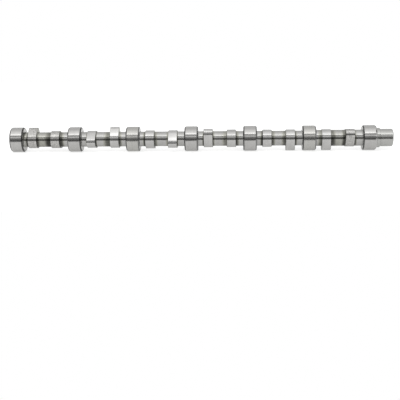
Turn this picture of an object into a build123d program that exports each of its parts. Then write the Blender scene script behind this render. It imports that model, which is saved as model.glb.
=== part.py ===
from build123d import *
import math
import os

# Camshaft of an inline six-cylinder diesel engine: one steel forging, turned and ground.
# Millimetres. The shaft lies along X with its gear end at +X, and +Z is up.
# The origin is on the axis, at the middle of the middle bearing journal.
# A bay is the stretch between two journals, and holds the two lobes of one cylinder.

# Bearing journals: all the same size, so that the shaft slides into its bores from one end.
# The last one sits a little nearer to the gear end than the even pitch gives.
journal_d = 60.0
journal_width = 32.5
journal_pitch = 142.0
last_journal_shift = 1.7

# Lead-in taper at both sides of a journal: how far it falls, and how long it is along the shaft
lead_in_depth = 2.0
lead_in_length = 3.0

# Cam lobes: base circle, convex flanks and a round nose
base_circle_d = 42.0
valve_lift = 8.7
nose_radius = 12.0
flank_radius = 90.0
lobe_width = 22.0
lobe_chamfer = 0.7

# Necks between journals and lobes: how far each lies below the base circle, all round.
# The last one, next to the gear end, is thicker. The inner corners are bevelled.
neck_relief = 3.0
last_neck_relief = 1.5
root_bevel = 2.0
bevel_share_of_wall = 0.8

# Places of the two lobes in a bay, from the centre of the journal on its -X side
first_lobe_at = 41.0
second_lobe_at = 97.0
first_bay_shift = -3.5

# Angles of the lobe tips on the cylinder that fires first, from +Z towards +Y
first_lobe_angle = 25.0
lobe_separation = 107.0
firing_order = (1, 5, 3, 6, 2, 4)

# Gear end: a collar for the thrust plate, then the seat that the timing gear is pressed on
collar_d = 47.0
collar_width = 8.8
gear_seat_d = 42.0
gear_seat_length = 31.0
gear_seat_chamfer = 1.5
gear_seat_bevel = 0.8

# Locating pin hole in the gear end's face, which times the gear to the shaft
pin_hole_d = 8.0
pin_hole_depth = 16.0
pin_hole_radius = 13.0
pin_hole_angle = 0.0

# Centre holes at both ends, on which the shaft is turned and ground
centre_mouth_d = 12.0
centre_drill_d = 5.0
centre_drill_depth = 14.0
centre_cone_angle = 60.0

neck_d = base_circle_d - 2 * neck_relief
last_neck_d = base_circle_d - 2 * last_neck_relief
cylinders = len(firing_order)
firing_step = 360.0 / cylinders
journal_positions = [(n - cylinders / 2) * journal_pitch for n in range(cylinders + 1)]
journal_positions[-1] += last_journal_shift
rear_end_x = journal_positions[0] - journal_width / 2
collar_start_x = journal_positions[-1] + journal_width / 2
seat_start_x = collar_start_x + collar_width
front_end_x = seat_start_x + gear_seat_length
last_neck_x = journal_positions[-2]


def rod(diameter, start_x, end_x):
    """A round bar on the shaft's axis, from start_x to end_x."""
    section = Plane(origin=(start_x, 0, 0), z_dir=(1, 0, 0)) * Circle(diameter / 2)
    return extrude(section, end_x - start_x)


def journal(centre_x):
    """One bearing journal with a lead-in taper at each side."""
    start_x = centre_x - journal_width / 2
    end_x = centre_x + journal_width / 2
    outer_r = journal_d / 2
    half_section = Polyline(
        (start_x, 0),
        (start_x, outer_r - lead_in_depth),
        (start_x + lead_in_length, outer_r),
        (end_x - lead_in_length, outer_r),
        (end_x, outer_r - lead_in_depth),
        (end_x, 0),
        close=True,
    )
    return revolve(make_face(half_section), Axis.X)


def cam_section():
    """The cam's outline with its tip at local +Y: base circle, two flanks and the nose, all tangent."""
    base_r = base_circle_d / 2
    nose_at = base_r + valve_lift - nose_radius
    to_flank = flank_radius - base_r
    to_nose = flank_radius - nose_radius
    # Angle at the axis between the nose's centre and a flank's centre, by the law of cosines
    turn = math.acos((nose_at**2 + to_flank**2 - to_nose**2) / (2 * nose_at * to_flank))
    flank_centre = Vector(math.sin(turn), math.cos(turn)) * to_flank
    nose_centre = Vector(0, nose_at)
    base_touch = flank_centre * (-base_r / to_flank)
    nose_touch = nose_centre + (nose_centre - flank_centre) * (nose_radius / to_nose)
    flank_mid = flank_centre + ((base_touch + nose_touch) / 2 - flank_centre).normalized() * flank_radius
    outline = Curve() + [
        ThreePointArc(base_touch, (0, -base_r), (-base_touch.X, base_touch.Y)),
        ThreePointArc(base_touch, flank_mid, nose_touch),
        ThreePointArc((-base_touch.X, base_touch.Y), (-flank_mid.X, flank_mid.Y), (-nose_touch.X, nose_touch.Y)),
        ThreePointArc(nose_touch, (0, nose_at + nose_radius), (-nose_touch.X, nose_touch.Y)),
    ]
    return make_face(outline)


def lobe(centre_x, tip_angle):
    """One cam lobe, its tip turned by tip_angle from +Z towards +Y, with chamfered edges."""
    facing = Plane(origin=(centre_x - lobe_width / 2, 0, 0), x_dir=(0, 1, 0), z_dir=(1, 0, 0))
    body = extrude(facing * Rot(Z=-tip_angle) * cam_section(), lobe_width)
    return chamfer(body.edges(), lobe_chamfer)


def lobe_pair(cylinder):
    """The places and tip angles of the two lobes of one cylinder."""
    rear_journal_x = journal_positions[cylinder - 1]
    if cylinder == 1:
        rear_journal_x += first_bay_shift
    phase = firing_order.index(cylinder) * firing_step
    return [
        (rear_journal_x + first_lobe_at, first_lobe_angle + phase),
        (rear_journal_x + second_lobe_at, first_lobe_angle + lobe_separation + phase),
    ]


def gear_end():
    """The collar behind the timing gear, and the gear's seat with its lead-in chamfer."""
    seat = rod(gear_seat_d, seat_start_x, front_end_x)
    seat = chamfer(seat.edges().sort_by(Axis.X)[-1], gear_seat_chamfer)
    return rod(collar_d, collar_start_x, seat_start_x) + seat


def centre_hole():
    """A centre hole that opens at local Z = 0 and runs down: a cone, then the drill's blind hole."""
    half_angle = math.radians(centre_cone_angle / 2)
    cone_depth = (centre_mouth_d - centre_drill_d) / 2 / math.tan(half_angle)
    down = Rot(X=180)
    cone = Cone(centre_mouth_d / 2, centre_drill_d / 2, cone_depth, align=(Align.CENTER, Align.CENTER, Align.MIN))
    drill = Cylinder(centre_drill_d / 2, centre_drill_depth, align=(Align.CENTER, Align.CENTER, Align.MIN))
    return down * (cone + drill)


def pin_hole():
    """The blind hole for the locating pin, in the gear end's face."""
    angle = math.radians(pin_hole_angle)
    offset_y = pin_hole_radius * math.sin(angle)
    offset_z = pin_hole_radius * math.cos(angle)
    mouth = Plane(origin=(front_end_x, offset_y, offset_z), z_dir=(-1, 0, 0))
    return extrude(mouth * Circle(pin_hole_d / 2), pin_hole_depth)


def bevel_roots(shaft, relief):
    """Fills the inner corners of the necks that lie this far below the base circle with a bevel."""
    size = min(root_bevel, bevel_share_of_wall * (relief - lobe_chamfer))
    neck_r = base_circle_d / 2 - relief
    circles = shaft.edges().filter_by(GeomType.CIRCLE)
    return chamfer(circles.filter_by(lambda edge: abs(edge.radius - neck_r) < 0.01), size)


def build_camshaft():
    shaft = rod(neck_d, journal_positions[0], last_neck_x) + rod(last_neck_d, last_neck_x, collar_start_x)
    shaft += [journal(x) for x in journal_positions]
    for cylinder in range(1, cylinders + 1):
        shaft += [lobe(x, angle) for x, angle in lobe_pair(cylinder)]
    shaft = bevel_roots(shaft, neck_relief)
    shaft = bevel_roots(shaft, last_neck_relief)
    shaft += gear_end()
    seat_corner = shaft.edges().filter_by(GeomType.CIRCLE).filter_by(
        lambda edge: abs(edge.radius - gear_seat_d / 2) < 0.01 and abs(edge.center().X - seat_start_x) < 0.01
    )
    shaft = chamfer(seat_corner, gear_seat_bevel)
    shaft -= Plane(origin=(rear_end_x, 0, 0), z_dir=(-1, 0, 0)) * centre_hole()
    shaft -= Plane(origin=(front_end_x, 0, 0), z_dir=(1, 0, 0)) * centre_hole()
    return shaft - pin_hole()


camshaft = build_camshaft()
camshaft.label = "camshaft"
os.makedirs("parts", exist_ok=True)
export_step(camshaft, "parts/camshaft.step")
print("volume mm3", round(camshaft.volume), "valid", camshaft.is_valid, "solids", len(camshaft.solids()))
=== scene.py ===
import math

import bmesh
import bpy
from mathutils import Matrix, Vector


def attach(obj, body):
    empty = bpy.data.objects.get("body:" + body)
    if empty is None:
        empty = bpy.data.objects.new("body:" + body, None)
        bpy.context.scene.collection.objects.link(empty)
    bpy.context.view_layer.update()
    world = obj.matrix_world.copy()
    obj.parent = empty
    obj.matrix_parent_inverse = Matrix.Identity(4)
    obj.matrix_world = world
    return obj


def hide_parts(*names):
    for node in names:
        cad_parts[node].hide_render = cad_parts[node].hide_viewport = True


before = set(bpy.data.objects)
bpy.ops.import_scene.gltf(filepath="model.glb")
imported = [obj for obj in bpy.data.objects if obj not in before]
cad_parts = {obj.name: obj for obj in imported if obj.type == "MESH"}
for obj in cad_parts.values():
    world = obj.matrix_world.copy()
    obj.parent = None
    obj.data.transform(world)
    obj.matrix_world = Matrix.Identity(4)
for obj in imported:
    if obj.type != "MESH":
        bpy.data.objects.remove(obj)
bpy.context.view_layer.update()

# One-piece camshaft of an inline six-cylinder diesel, lying on a white studio floor.
# Metres, in the CAD's frame: the shaft lies along X, its gear end at +X, and +Z is up.

MM = 0.001

# Turned and ground sizes, the same as the solid's
JOURNAL_R = 30 * MM
JOURNAL_WIDTH = 32.5 * MM
LEAD_IN_DEPTH = 2 * MM
LEAD_IN_LENGTH = 3 * MM
JOURNAL_PITCH = 142 * MM
LAST_JOURNAL_SHIFT = 1.7 * MM
BASE_R = 21 * MM
VALVE_LIFT = 8.7 * MM
NOSE_R = 12 * MM
FLANK_R = 90 * MM
LOBE_WIDTH = 22 * MM
LOBE_EDGE = 0.7 * MM
NECK_R = BASE_R - 3 * MM
LAST_NECK_R = BASE_R - 1.5 * MM
ROOT_FILLET = 2 * MM
LAST_ROOT_FILLET = 0.64 * MM
FIRST_LOBE_AT = 41 * MM
SECOND_LOBE_AT = 97 * MM
FIRST_BAY_SHIFT = -3.5 * MM
FIRST_LOBE_ANGLE = 25
LOBE_SEPARATION = 107
FIRING_ORDER = (1, 5, 3, 6, 2, 4)
COLLAR_R = 23.5 * MM
COLLAR_WIDTH = 8.8 * MM
COLLAR_DULL_STRIP = 1.2 * MM
SEAT_R = 21 * MM
SEAT_LENGTH = 31 * MM
SEAT_CHAMFER = 1.5 * MM
SEAT_FILLET = 0.8 * MM
PIN_HOLE_R = 4 * MM
PIN_HOLE_DEPTH = 16 * MM
PIN_HOLE_AT = 13 * MM
CENTRE_MOUTH_R = 6 * MM
CENTRE_DRILL_R = 2.5 * MM
CENTRE_CONE_HALF_ANGLE = 30
CENTRE_CONE_DEPTH = (CENTRE_MOUTH_R - CENTRE_DRILL_R) / math.tan(math.radians(CENTRE_CONE_HALF_ANGLE))
CENTRE_DEPTH = 14 * MM

CYLINDERS = len(FIRING_ORDER)
JOURNALS = [(n - CYLINDERS / 2) * JOURNAL_PITCH for n in range(CYLINDERS + 1)]
JOURNALS[-1] += LAST_JOURNAL_SHIFT

# The mesh: points in a ring, steps across a rounded corner, and the angle from which an edge stays sharp
RING_POINTS = 144
HOLE_POINTS = 48
CORNER_STEPS = 4
EDGE_BREAK = 0.3 * MM
NECK_STEP = 2 * MM
SHARP_FROM = 32

# Heat tint that hardening the lobes left beside them: its strength, and its reach in millimetres,
# before and after the first lobe of each cylinder, and before and after the second.
# It is full for half its reach, and is gone at one and a half times its reach.
HEAT_TINTS = (
    ((0.88, 5), (0.85, 6), (1.0, 13), (0.95, 9)),
    ((0.5, 3), (0.95, 1.5), (0.8, 13), (0.74, 6)),
    ((0.9, 4.5), (0.75, 7), (0.52, 5), (0.65, 2)),
    ((0.72, 3), (0.7, 4), (0.6, 10), (0.85, 6)),
    ((0.95, 4.5), (0.77, 7), (0.75, 8.5), (0.8, 4.5)),
    ((0.7, 8), (0.86, 10.5), (0.9, 8), (0.8, 4)),
)
TINT_FULL_AND_FADE = 1.5
# The same tint on the whole neck between the two lobes of each cylinder
NECK_TINTS = (0.36, 0, 0, 0, 0, 0.29)
# The share of it that is missing on top of the shaft, which paints light on the top and shade on the lower
# half, and how far it covers a lobe's rounded edge
TOP_LIGHT_PAINTED_ON_TINT = 0.5
TINT_ON_EDGE = 1.1

# What the tint and its painted shade leave of the steel's colour, by their strength
OXIDE_AND_SHADE_COLOURS = [
    (0.1, (1, 1, 1)), (0.3, (0.865, 0.865, 0.805)), (0.55, (0.45, 0.45, 0.415)),
    (0.8, (0.195, 0.195, 0.18)), (1.0, (0.098, 0.098, 0.09)),
]
# Painted shade in the corner of the first neck beside the journal, darkest on top: its strength, its reach
# in millimetres, and the share of it that is left below
FIRST_CORNER_PAINTED_SHADE = (0.95, 8, 0.25)

# The fine lines and clouds of machined steel: how noise is stretched, and what it does to the steel.
# The lines run round the shaft, so they hardly change across it. Ragged noise makes the heat tint uneven.
LINE_STRETCH = (1, 0.02, 0.02)
CLOUD_STRETCH = (1, 0.7, 0.7)
RAGGED_STRETCH = (1, 0.6, 0.6)
RAGGED_SCALE = 130
RAGGED_SHARE = 0.7
LINE_SHADES = [(0.3, 0.88), (0.7, 1.0)]
LINE_ROUGHENING = 0.1
TINT_ROUGHENING = 0.05
LINE_DEPTH = 0.1 * MM
ALONG_THE_LINES = 0.25

# The room's light as metal sees it, by the angle in degrees from the front horizon over the top to the back
ROOM_WHITEST = 2.4
ROOM_LEVELS = [
    (0, 0.1), (10, 0.1), (15, 0.28), (29, 0.3), (31.5, 1.15), (40, 1.15), (42.5, 0.42), (55, 0.45),
    (57.5, 2.4), (66, 2.3), (71, 1.6), (86, 1.45), (98, 1.25), (111, 1.05), (128, 0.9), (160, 0.85),
    (168, 0.7), (172, 0.2), (180, 0.13),
]
# The dark flags that stand at both ends of the shaft: how much of them metal sees, by its sideways slant
FLAG_SHARES = [(0.72, 0), (0.8, 1), (0.89, 1), (0.93, 0)]
FLAG_LEVEL = 0.12
# The room's plain light on everything else
ROOM_LIGHT = 0.7

# One large soft lamp, high in front, gives the shadow its side
LAMP_WATTS = 24
LAMP_LENGTH = 2.4
LAMP_WIDTH = 1.2
LAMP_PLACE = (-0.4, -1.2, 2.2)
LAMP_LEAN = 29

# The floor: its size, and how much of its whiteness is its own light
FLOOR_LENGTH = 8
FLOOR_FRONT = -0.43
FLOOR_BACK = 0.88
FLOOR_COLOUR = (0.55, 0.55, 0.545)
FLOOR_ROUGHNESS = 0.9
FLOOR_WHITE_TO_CAMERA = 0.75
FLOOR_WHITE_TO_METAL = 0.51

# Camera: the photograph's viewpoint, with angles in degrees. The shaft lies above the picture's middle.
PICTURE_SIDE = 400
SENSOR_WIDTH = 36
FOCAL_PIXELS = 800.5
CAMERA_DISTANCE = 1.956
CAMERA_AZIMUTH = 2.893
CAMERA_ELEVATION = 15
TILT_DOWN = 4.383
ROLL = -1.112
AIM_X = 0.0176

# Surfaces, in the order of the piece's material slots
GROUND, COARSE, LOBE, STAINED, TURNED, FACE, DARK, DULL, SEAT, BORE = range(10)

# Each journal's surfaces: rear lead-in, ground band, the band's broken front edge, and front lead-in
JOURNAL_SURFACES = (
    (DARK, GROUND, DARK, DARK),
    (DULL, GROUND, GROUND, DARK),
    (DARK, COARSE, COARSE, DULL),
    (DARK, GROUND, GROUND, DULL),
    (DARK, GROUND, GROUND, DULL),
    (DARK, COARSE, COARSE, DULL),
    (DARK, GROUND, GROUND, GROUND),
)
# The cam surfaces of each cylinder's two lobes
LOBE_SURFACES = ((STAINED, STAINED), (LOBE, LOBE), (LOBE, LOBE), (LOBE, LOBE), (LOBE, LOBE), (LOBE, STAINED))


def cam_radius(angle, inset):
    """The cam's radius at an angle from its tip, with the whole outline moved in by inset."""
    nose_at = BASE_R + VALVE_LIFT - NOSE_R
    to_flank = FLANK_R - BASE_R
    to_nose = FLANK_R - NOSE_R
    turn = math.acos((nose_at**2 + to_flank**2 - to_nose**2) / (2 * nose_at * to_flank))
    angle = abs((angle + math.pi) % (2 * math.pi) - math.pi)
    flank = Vector((math.cos(turn), -math.sin(turn))) * to_flank
    nose = Vector((nose_at, 0))
    touch = nose + (nose - flank).normalized() * (NOSE_R - inset)
    ray = Vector((math.cos(angle), math.sin(angle)))
    if angle >= math.pi - turn:
        return BASE_R - inset
    if angle <= math.atan2(touch.y, touch.x):
        centre, radius = nose, NOSE_R - inset
    else:
        centre, radius = flank, FLANK_R - inset
    along = centre.dot(ray)
    return along + math.sqrt(radius**2 - centre.length_squared + along**2)


def lobe_pair(cylinder):
    """The places and tip angles of the two lobes of a cylinder."""
    start = JOURNALS[cylinder - 1] + (FIRST_BAY_SHIFT if cylinder == 1 else 0)
    phase = FIRST_LOBE_ANGLE + 360 / CYLINDERS * FIRING_ORDER.index(cylinder)
    return (start + FIRST_LOBE_AT, phase), (start + SECOND_LOBE_AT, phase + LOBE_SEPARATION)


def heat_tint_and_painted_shade(x, upward):
    """How dark the unground steel is at x: its hardening tint, lighter on top of the shaft as painted light,
    with painted shade in the first neck's corner. Upward is 1 on top of the shaft, 0 on its lower half.
    """
    corner, reach, below = FIRST_CORNER_PAINTED_SHADE
    gap = x - JOURNALS[0] - JOURNAL_WIDTH / 2
    # Painted shade in the corner of the first neck beside the first journal
    stain_and_shade = corner * max(0, 1 - gap / (reach * MM)) * (below + (1 - below) * upward) if gap >= 0 else 0
    strongest = 0
    for cylinder in range(1, CYLINDERS + 1):
        (first, _), (second, _) = lobe_pair(cylinder)
        if first < x < second:
            strongest = max(strongest, NECK_TINTS[cylinder - 1])
        places = ((first, -1), (first, 1), (second, -1), (second, 1))
        for (centre, side), (strength, reach) in zip(places, HEAT_TINTS[cylinder - 1]):
            gap = (x - centre) * side - LOBE_WIDTH / 2
            if gap > -TINT_ON_EDGE * LOBE_EDGE:
                strongest = max(strongest, strength * min(1, TINT_FULL_AND_FADE - gap / (reach * MM)))
    # Less tint on top of the shaft: painted light on top, painted shade on the lower half
    return max(stain_and_shade, strongest * (1 - TOP_LIGHT_PAINTED_ON_TINT * upward))


class Loft:
    """A skin made of rings along the shaft. Each band between two rings has its own surface."""

    def __init__(self):
        self.rings = []
        self.surfaces = []

    def add(self, surface, x, radius, tip=None):
        """A ring at x: a circle, or with a tip angle the cam's outline moved in by radius."""
        points = []
        for n in range(RING_POINTS):
            angle = 2 * math.pi * n / RING_POINTS
            r = radius if tip is None else cam_radius(angle - tip, radius)
            points.append(Vector((x, r * math.sin(angle), r * math.cos(angle))))
        self.rings.append(points)
        self.surfaces.append(surface)

    def corner(self, surface, x0, r0, x1, r1, hollow=False, tip=None):
        """A quarter-round from (x0, r0) to (x1, r1). It starts along the shaft if hollow, else across it."""
        for step in range(1, CORNER_STEPS + 1):
            turn = math.pi / 2 * step / CORNER_STEPS
            early, late = math.sin(turn), 1 - math.cos(turn)
            share_x, share_r = (early, late) if hollow else (late, early)
            self.add(surface, x0 + (x1 - x0) * share_x, r0 + (r1 - r0) * share_r, tip)


def neck_rings(loft, x0, x1, radius, fillet):
    """A neck between two side faces, with round roots."""
    loft.add(TURNED, x0, radius + fillet)
    loft.corner(TURNED, x0, radius + fillet, x0 + fillet, radius)
    length = x1 - x0 - 2 * fillet
    steps = max(1, round(length / NECK_STEP))
    for n in range(1, steps + 1):
        loft.add(TURNED, x0 + fillet + length * n / steps, radius)
    loft.corner(TURNED, x1 - fillet, radius, x1, radius + fillet, hollow=True)


def journal_rings(loft, number):
    """A journal's lead-in tapers and ground band, from side face to side face."""
    rear, ground, edge, front = JOURNAL_SURFACES[number]
    x0, x1 = JOURNALS[number] - JOURNAL_WIDTH / 2, JOURNALS[number] + JOURNAL_WIDTH / 2
    slope = math.atan2(LEAD_IN_DEPTH, LEAD_IN_LENGTH)
    step_x, step_r = EDGE_BREAK * math.cos(slope), EDGE_BREAK * math.sin(slope)
    low = JOURNAL_R - LEAD_IN_DEPTH
    loft.add(FACE, x0, low - EDGE_BREAK)
    loft.add(rear, x0 + step_x, low + step_r)
    loft.add(rear, x0 + LEAD_IN_LENGTH - step_x, JOURNAL_R - step_r)
    loft.add(ground, x0 + LEAD_IN_LENGTH + EDGE_BREAK, JOURNAL_R)
    loft.add(ground, x1 - LEAD_IN_LENGTH - EDGE_BREAK, JOURNAL_R)
    loft.add(edge, x1 - LEAD_IN_LENGTH + step_x, JOURNAL_R - step_r)
    loft.add(front, x1 - step_x, low + step_r)
    loft.add(front, x1, low - EDGE_BREAK)


def lobe_rings(loft, centre, tip, surface):
    """A lobe's side faces, rounded edges and ground cam surface."""
    x0, x1 = centre - LOBE_WIDTH / 2, centre + LOBE_WIDTH / 2
    loft.add(TURNED, x0, LOBE_EDGE, tip)
    loft.corner(TURNED, x0, LOBE_EDGE, x0 + LOBE_EDGE, 0, tip=tip)
    loft.add(surface, x1 - LOBE_EDGE, 0, tip)
    loft.corner(TURNED, x1 - LOBE_EDGE, 0, x1, LOBE_EDGE, hollow=True, tip=tip)


def shaft_rings():
    """Every ring of the shaft, from the bottom of the rear centre hole to the rim of the gear end's face."""
    loft = Loft()
    rear = JOURNALS[0] - JOURNAL_WIDTH / 2
    loft.add(BORE, rear + CENTRE_DEPTH, CENTRE_DRILL_R)
    loft.add(BORE, rear + CENTRE_CONE_DEPTH, CENTRE_DRILL_R)
    loft.add(BORE, rear, CENTRE_MOUTH_R)
    half = LOBE_WIDTH / 2
    for cylinder in range(1, CYLINDERS + 1):
        is_last = cylinder == CYLINDERS
        radius, fillet = (LAST_NECK_R, LAST_ROOT_FILLET) if is_last else (NECK_R, ROOT_FILLET)
        start = JOURNALS[cylinder - 1] + JOURNAL_WIDTH / 2
        journal_rings(loft, cylinder - 1)
        (first, first_angle), (second, second_angle) = lobe_pair(cylinder)
        first_surface, second_surface = LOBE_SURFACES[cylinder - 1]
        neck_rings(loft, start, first - half, radius, fillet)
        lobe_rings(loft, first, math.radians(first_angle), first_surface)
        neck_rings(loft, first + half, second - half, radius, fillet)
        lobe_rings(loft, second, math.radians(second_angle), second_surface)
        neck_rings(loft, second + half, JOURNALS[cylinder] - JOURNAL_WIDTH / 2, radius, fillet)
    journal_rings(loft, CYLINDERS)
    collar_start = JOURNALS[-1] + JOURNAL_WIDTH / 2
    loft.add(FACE, collar_start, COLLAR_R)
    loft.add(DULL, collar_start + COLLAR_DULL_STRIP, COLLAR_R)
    seat_start = collar_start + COLLAR_WIDTH
    front = seat_start + SEAT_LENGTH
    loft.add(SEAT, seat_start - EDGE_BREAK, COLLAR_R)
    loft.corner(SEAT, seat_start - EDGE_BREAK, COLLAR_R, seat_start, COLLAR_R - EDGE_BREAK, hollow=True)
    loft.add(FACE, seat_start, SEAT_R + SEAT_FILLET)
    loft.corner(DULL, seat_start, SEAT_R + SEAT_FILLET, seat_start + SEAT_FILLET, SEAT_R)
    loft.add(SEAT, front - SEAT_CHAMFER, SEAT_R)
    loft.add(SEAT, front, SEAT_R - SEAT_CHAMFER)
    return loft, front


def join_rings(bm, first, second, surface):
    """The band of faces between two rings."""
    for n in range(len(first)):
        m = (n + 1) % len(first)
        face = bm.faces.new((first[n], first[m], second[m], second[n]))
        face.material_index = surface


def hole(bm, centre, stations):
    """A blind hole from its first (x, radius) station to a flat bottom. Returns the ring at its mouth."""
    turns = [2 * math.pi * n / HOLE_POINTS for n in range(HOLE_POINTS)]
    rings = []
    for x, radius in stations:
        places = [(x, centre.y + radius * math.sin(t), centre.z + radius * math.cos(t)) for t in turns]
        rings.append([bm.verts.new(place) for place in places])
    for first, second in zip(rings, rings[1:]):
        join_rings(bm, first, second, BORE)
    bm.faces.new(rings[-1]).material_index = BORE
    return rings[0]


def ring_edges(bm, ring):
    """The edges of a closed ring, made where they are missing."""
    pairs = zip(ring, ring[1:] + ring[:1])
    return [bm.edges.get(pair) or bm.edges.new(pair) for pair in pairs]


def build_shaft():
    """The shaft's whole skin as one mesh object."""
    loft, front = shaft_rings()
    bm = bmesh.new()
    tint_and_shade = bm.verts.layers.float.new("heat_tint_and_painted_shade")
    rings = [[bm.verts.new(p) for p in ring] for ring in loft.rings]
    for ring in rings:
        for vert in ring:
            # Hardening tint, with painted light on top and painted shade in the first neck's corner
            vert[tint_and_shade] = heat_tint_and_painted_shade(vert.co.x, max(0, vert.co.z) / vert.co.yz.length)
    bm.faces.new(rings[0]).material_index = BORE
    for n in range(1, len(rings)):
        join_rings(bm, rings[n - 1], rings[n], loft.surfaces[n])
    centre_hole = hole(bm, Vector((front, 0, 0)), [
        (front, CENTRE_MOUTH_R),
        (front - CENTRE_CONE_DEPTH, CENTRE_DRILL_R),
        (front - CENTRE_DEPTH, CENTRE_DRILL_R),
    ])
    pin_hole = hole(bm, Vector((front, 0, PIN_HOLE_AT)), [
        (front, PIN_HOLE_R),
        (front - PIN_HOLE_DEPTH, PIN_HOLE_R),
    ])
    rims = [edge for ring in (rings[-1], centre_hole, pin_hole) for edge in ring_edges(bm, ring)]
    for face in bmesh.ops.triangle_fill(bm, edges=rims, use_beauty=True, normal=(1, 0, 0))["geom"]:
        if isinstance(face, bmesh.types.BMFace):
            face.material_index = FACE
    bmesh.ops.recalc_face_normals(bm, faces=bm.faces)
    mesh = bpy.data.meshes.new("camshaft_skin")
    bm.to_mesh(mesh)
    bm.free()
    mesh.shade_smooth()
    mesh.set_sharp_from_angle(angle=math.radians(SHARP_FROM))
    piece = bpy.data.objects.new("camshaft_skin", mesh)
    bpy.context.scene.collection.objects.link(piece)
    weighted = piece.modifiers.new("face_weighted_normals", "WEIGHTED_NORMAL")
    weighted.keep_sharp = True
    return piece


class Shader:
    """A short hand for making the nodes of a material or of the world."""

    def __init__(self, owner):
        owner.use_nodes = True
        self.nodes = owner.node_tree.nodes
        self.links = owner.node_tree.links

    def node(self, kind, **values):
        """A new node, with its sockets and settings by name."""
        made = self.nodes.new(kind)
        for key, value in values.items():
            if key in made.inputs:
                made.inputs[key].default_value = value
            else:
                setattr(made, key, value)
        return made

    def link(self, start, end):
        self.links.new(start, end)

    def feed(self, socket, value):
        """Links a socket, or sets a number or a colour."""
        if isinstance(value, bpy.types.NodeSocket):
            self.link(value, socket)
        elif isinstance(value, tuple):
            socket.default_value = (*value, 1)
        else:
            socket.default_value = value

    def math(self, operation, first, second=0.0):
        """One sum of two numbers."""
        made = self.node("ShaderNodeMath", operation=operation)
        self.feed(made.inputs[0], first)
        self.feed(made.inputs[1], second)
        return made.outputs[0]

    def blend(self, kind, factor, first, second):
        """Two colours mixed by a factor."""
        made = self.node("ShaderNodeMix", data_type="RGBA", blend_type=kind)
        self.feed(made.inputs[0], factor)
        self.feed(made.inputs[6], first)
        self.feed(made.inputs[7], second)
        return made.outputs[2]

    def ramp(self, factor, stops):
        """A colour ramp through (position, grey level or colour) stops."""
        made = self.node("ShaderNodeValToRGB")
        elements = made.color_ramp.elements
        while len(elements) < len(stops):
            elements.new(0.5)
        for element, (position, level) in zip(elements, stops):
            element.position = position
            element.color = (*level, 1) if isinstance(level, tuple) else (level, level, level, 1)
        self.link(factor, made.inputs["Fac"])
        return made.outputs["Color"]

    def noise(self, stretch, scale, detail=4.0, roughness=0.6):
        """Noise in the shaft's own coordinates, stretched along each axis."""
        place = self.node("ShaderNodeTexCoord").outputs["Object"]
        mapping = self.node("ShaderNodeMapping", Scale=stretch)
        self.link(place, mapping.inputs["Vector"])
        made = self.node("ShaderNodeTexNoise", Scale=scale, Detail=detail, Roughness=roughness)
        self.link(mapping.outputs["Vector"], made.inputs["Vector"])
        return made.outputs["Fac"]


def steel(name, base, roughness, anisotropy,
          line_scale=700, bump=0.15, stain_and_shade=0.06, stain_scale=55, tinted_and_shaded=False):
    """Machined steel: fine lines round the shaft in colour, roughness and height, and cloudy staining."""
    material = bpy.data.materials.new(name)
    s = Shader(material)
    bsdf = s.nodes["Principled BSDF"].inputs
    lines = s.noise(LINE_STRETCH, line_scale, detail=6, roughness=0.75)
    cloud = s.noise(CLOUD_STRETCH, stain_scale, detail=5)
    shade = s.ramp(lines, LINE_SHADES)
    patch = s.ramp(cloud, [(0.35, 1 - stain_and_shade), (0.65, 1.0)])
    colour = s.blend("MULTIPLY", 1, s.blend("MULTIPLY", 1, shade, patch), base)
    swing = s.math("MULTIPLY", s.math("SUBTRACT", lines, 0.5), LINE_ROUGHENING)
    rough = s.math("ADD", swing, roughness)
    if tinted_and_shaded:
        # Hardening tint from the mesh, with its painted top light and painted corner shade
        tint_and_shade = s.node("ShaderNodeAttribute", attribute_name="heat_tint_and_painted_shade").outputs["Fac"]
        uneven = s.noise(RAGGED_STRETCH, RAGGED_SCALE, detail=5)
        ragged = s.math("MULTIPLY", s.math("SUBTRACT", uneven, 0.5), RAGGED_SHARE)
        tint_and_shade = s.math("ADD", tint_and_shade, s.math("MULTIPLY", ragged, s.math("SQRT", tint_and_shade)))
        colour = s.blend("MULTIPLY", 1, colour, s.ramp(tint_and_shade, OXIDE_AND_SHADE_COLOURS))
        rough = s.math("ADD", rough, s.math("MULTIPLY", tint_and_shade, TINT_ROUGHENING))
    s.feed(bsdf["Base Color"], colour)
    s.feed(bsdf["Metallic"], 1)
    s.feed(bsdf["Roughness"], rough)
    s.feed(bsdf["Anisotropic"], anisotropy)
    s.feed(bsdf["Anisotropic Rotation"], ALONG_THE_LINES)
    tangent = s.node("ShaderNodeTangent", direction_type="RADIAL", axis="X")
    s.feed(bsdf["Tangent"], tangent.outputs["Tangent"])
    height = s.node("ShaderNodeBump", Strength=bump, Distance=LINE_DEPTH)
    s.feed(height.inputs["Height"], lines)
    s.feed(bsdf["Normal"], height.outputs["Normal"])
    return material


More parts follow.
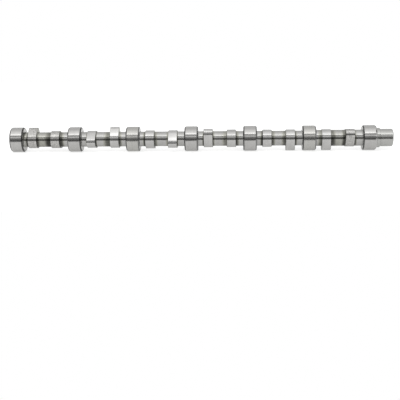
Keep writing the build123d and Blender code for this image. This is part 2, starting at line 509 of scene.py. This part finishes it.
def studio_room():
    """A white room. Metal sees its long soft lamps over the shaft, between darker bands."""
    world = bpy.data.worlds.new("studio_room")
    bpy.context.scene.world = world
    s = Shader(world)
    way = s.node("ShaderNodeTexCoord").outputs["Generated"]
    axes = s.node("ShaderNodeSeparateXYZ")
    s.link(way, axes.inputs["Vector"])
    forward = s.math("MULTIPLY", axes.outputs["Y"], -1)
    climb = s.math("MULTIPLY", s.math("ARCTAN2", axes.outputs["Z"], forward), 1 / math.pi)
    lamps = s.ramp(climb, [(degrees / 180, level / ROOM_WHITEST) for degrees, level in ROOM_LEVELS])
    lamps = s.blend("MULTIPLY", 1, lamps, (ROOM_WHITEST,) * 3)
    sideways = s.math("ABSOLUTE", axes.outputs["X"])
    flags = s.ramp(sideways, FLAG_SHARES)
    seen_by_metal = s.blend("MIX", flags, lamps, (FLAG_LEVEL,) * 3)
    kind = s.node("ShaderNodeLightPath").outputs
    seen_through = s.math("MAXIMUM", kind["Is Camera Ray"], kind["Is Transmission Ray"])
    plain = s.blend("MIX", seen_through, (ROOM_LIGHT,) * 3, (1, 1, 1))
    shown = s.blend("MIX", kind["Is Glossy Ray"], plain, seen_by_metal)
    s.link(shown, s.nodes["Background"].inputs["Color"])


def studio_floor():
    """A white table. Part of its whiteness is its own light, and the rest takes the shadow."""
    bpy.ops.mesh.primitive_plane_add(size=1, location=(0, (FLOOR_FRONT + FLOOR_BACK) / 2, -JOURNAL_R))
    floor = bpy.context.object
    floor.name = "floor"
    floor.scale = (FLOOR_LENGTH, FLOOR_BACK - FLOOR_FRONT, 1)
    material = bpy.data.materials.new("floor_paper")
    s = Shader(material)
    paper = s.nodes["Principled BSDF"].inputs
    s.feed(paper["Base Color"], FLOOR_COLOUR)
    s.feed(paper["Roughness"], FLOOR_ROUGHNESS)
    s.feed(paper["Specular IOR Level"], 0)
    kind = s.node("ShaderNodeLightPath").outputs
    seen = s.math("MULTIPLY", kind["Is Camera Ray"], FLOOR_WHITE_TO_CAMERA)
    seen = s.math("ADD", seen, s.math("MULTIPLY", kind["Is Glossy Ray"], FLOOR_WHITE_TO_METAL))
    seen = s.math("ADD", seen, s.math("MULTIPLY", kind["Is Transmission Ray"], FLOOR_WHITE_TO_METAL))
    s.feed(paper["Emission Color"], (1, 1, 1))
    s.feed(paper["Emission Strength"], seen)
    floor.data.materials.append(material)


def photo_camera():
    """The camera at the photograph's viewpoint."""
    data = bpy.data.cameras.new("camera")
    data.sensor_width = SENSOR_WIDTH
    data.lens = SENSOR_WIDTH * FOCAL_PIXELS / PICTURE_SIDE
    camera = bpy.data.objects.new("camera", data)
    bpy.context.scene.collection.objects.link(camera)
    azimuth, elevation = math.radians(CAMERA_AZIMUTH), math.radians(CAMERA_ELEVATION)
    level = math.cos(elevation)
    back = Vector((math.sin(azimuth) * level, -math.cos(azimuth) * level, math.sin(elevation)))
    camera.location = Vector((AIM_X, 0, 0)) + back * CAMERA_DISTANCE
    tilt = math.radians(90 - CAMERA_ELEVATION - TILT_DOWN)
    looks = Matrix.Rotation(azimuth, 4, "Z") @ Matrix.Rotation(tilt, 4, "X")
    camera.rotation_euler = (looks @ Matrix.Rotation(math.radians(ROLL), 4, "Z")).to_euler()
    bpy.context.scene.camera = camera


def soft_lamp():
    """The lamp over the front of the table. Metal doesn't see it."""
    data = bpy.data.lights.new("soft_lamp", "AREA")
    data.shape = "RECTANGLE"
    data.size = LAMP_LENGTH
    data.size_y = LAMP_WIDTH
    data.energy = LAMP_WATTS
    lamp = bpy.data.objects.new("soft_lamp", data)
    lamp.location = LAMP_PLACE
    lamp.rotation_euler = (math.radians(LAMP_LEAN), 0, 0)
    lamp.visible_glossy = False
    bpy.context.scene.collection.objects.link(lamp)


piece = build_shaft()
for made in (
    steel("ground_journal", (0.485, 0.48, 0.47), 0.24, 0.75),
    steel("coarser_ground_journal", (0.49, 0.485, 0.465), 0.27, 0.65),
    steel("ground_lobe", (0.535, 0.531, 0.521), 0.24, 0.75, stain_and_shade=0.1),
    steel("stained_lobe", (0.575, 0.568, 0.548), 0.25, 0.7, stain_and_shade=0.42, stain_scale=320),
    steel("turned_neck", (0.465, 0.462, 0.45), 0.22, 0.7, line_scale=450, stain_and_shade=0.1, tinted_and_shaded=True),
    steel("side_face", (0.42, 0.42, 0.41), 0.26, 0.5, line_scale=450, bump=0.25, stain_and_shade=0.12),
    steel("dark_lead_in", (0.09, 0.09, 0.087), 0.28, 0.5, line_scale=450, bump=0.25, stain_and_shade=0.2),
    steel("dull_lead_in", (0.22, 0.22, 0.215), 0.28, 0.5, line_scale=450, bump=0.25, stain_and_shade=0.2),
    steel("gear_seat", (0.47, 0.47, 0.455), 0.26, 0.7),
    steel("drilled_bore", (0.3, 0.3, 0.3), 0.4, 0.0, line_scale=450, bump=0.3),
):
    piece.data.materials.append(made)
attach(piece, "root")
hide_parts("camshaft")
studio_room()
studio_floor()
photo_camera()
soft_lamp()
bpy.context.scene.view_settings.view_transform = "Standard"
